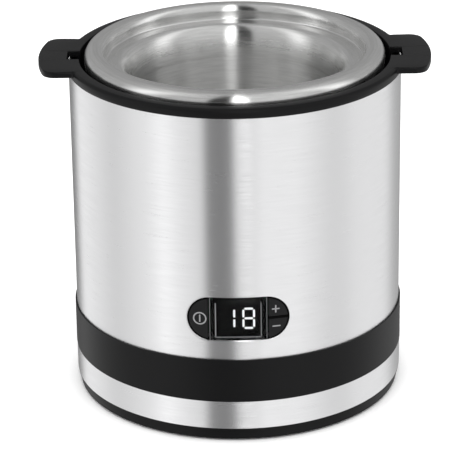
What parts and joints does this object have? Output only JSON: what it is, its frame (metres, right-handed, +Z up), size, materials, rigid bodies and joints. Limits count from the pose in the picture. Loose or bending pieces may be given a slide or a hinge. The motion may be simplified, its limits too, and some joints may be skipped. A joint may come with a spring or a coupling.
{
  "type": "frozen dessert maker",
  "caption": "Compact frozen-yogurt and ice-cream maker without lid: steel freezer bowl turning in a brushed-steel body with a black eared collar, band and key panel.",
  "frame": {"origin": "on the floor under the body's axis, at the bottom face of the rubber feet", "axes": "+Z up along the body's axis, control panel faces -Y, the ears lie along X"},
  "size_m": [0.1888, 0.1616, 0.1729],
  "materials": {
    "brushed_steel": "horizontally brushed",
    "bowl_steel": "turned satin",
    "black_plastic": "satin moulded",
    "key_plastic": "satin moulded",
    "clear_window": "polished clear",
    "lit_segments": "lit",
    "dark_plastic": "moulded",
    "rubber": "matt",
    "zinc_steel": "zinc plated",
    "ground_steel": "ground",
    "brass": "sintered",
    "acetal": "natural acetal",
    "circuit_board": "solder mask",
    "ribbon": "flat cable",
    "copper_winding": "enamelled winding",
    "capacitor_sleeve": "sleeve",
    "coolant": "frozen gel"
  },
  "bodies": {
    "housing": {"base_tray": "black_plastic", "rubber_feet": "rubber", "base_screws": "zinc_steel", "lower_steel_ring": "brushed_steel", "band_ring": "black_plastic", "cord_gland": "rubber", "housing_shell": "brushed_steel", "collar": "black_plastic", "well_liner": "black_plastic", "panel_bezel": "black_plastic", "display_window": "clear_window", "display_module": "dark_plastic", "display_digits": "lit_segments", "control_board": "circuit_board", "key_switches": "dark_plastic", "panel_ribbon": "ribbon", "power_board": "circuit_board", "transformer": "acetal", "capacitors": "capacitor_sleeve", "terminal_block": "dark_plastic", "board_screws": "zinc_steel", "gearbox_case": "acetal", "gearbox_cover": "acetal", "gearbox_screws": "zinc_steel", "idler_pin": "ground_steel", "upper_bush": "brass", "lower_bush": "brass", "motor_can": "zinc_steel", "motor_magnets": "zinc_steel", "motor_end_cap": "dark_plastic", "motor_screws": "zinc_steel"},
    "drive": {"drive_shaft": "ground_steel", "output_gear": "acetal", "shaft_circlip": "zinc_steel", "thrust_washer": "acetal", "turntable": "dark_plastic", "turntable_screw": "zinc_steel"},
    "idler": {"idler_gear": "acetal"},
    "rotor": {"motor_shaft": "ground_steel", "motor_armature": "copper_winding", "motor_pinion": "brass"},
    "bowl": {"bowl_outer_shell": "bowl_steel", "bowl_inner_pan": "bowl_steel", "bowl_coolant": "coolant", "bowl_socket": "dark_plastic", "bowl_seam_ring": "dark_plastic"},
    "power_key": {"power_key": "key_plastic"},
    "plus_key": {"plus_key": "key_plastic"},
    "minus_key": {"minus_key": "key_plastic"}
  },
  "joints": [
    {"name": "drive_spin", "type": "hinge", "parent": "housing", "child": "drive", "pos_m": [0, 0, 0.085], "axis": [0, 0, 1], "continuous": true},
    {"name": "idler_spin", "type": "hinge", "parent": "housing", "child": "idler", "pos_m": [-0.02819, 0.01026, 0.065], "axis": [0, 0, 1], "continuous": true},
    {"name": "rotor_spin", "type": "hinge", "parent": "housing", "child": "rotor", "pos_m": [-0.00797, 0.02723, 0.04], "axis": [0, 0, 1], "continuous": true},
    {"name": "bowl_lift", "type": "slide", "parent": "drive", "child": "bowl", "axis": [0, 0, 1], "range_m": [0, 0.1]},
    {"name": "power_key_press", "type": "slide", "parent": "housing", "child": "power_key", "axis": [0, 1, 0], "range_m": [0, 0.0006], "stiffness_N_per_m": 400},
    {"name": "plus_key_press", "type": "slide", "parent": "housing", "child": "plus_key", "axis": [0, 1, 0], "range_m": [0, 0.0006], "stiffness_N_per_m": 400},
    {"name": "minus_key_press", "type": "slide", "parent": "housing", "child": "minus_key", "axis": [0, 1, 0], "range_m": [0, 0.0006], "stiffness_N_per_m": 400}
  ],
  "couplings": [
    {"joint": "idler_spin", "follows": "drive_spin", "ratio": -4},
    {"joint": "rotor_spin", "follows": "drive_spin", "ratio": 18}
  ]
}
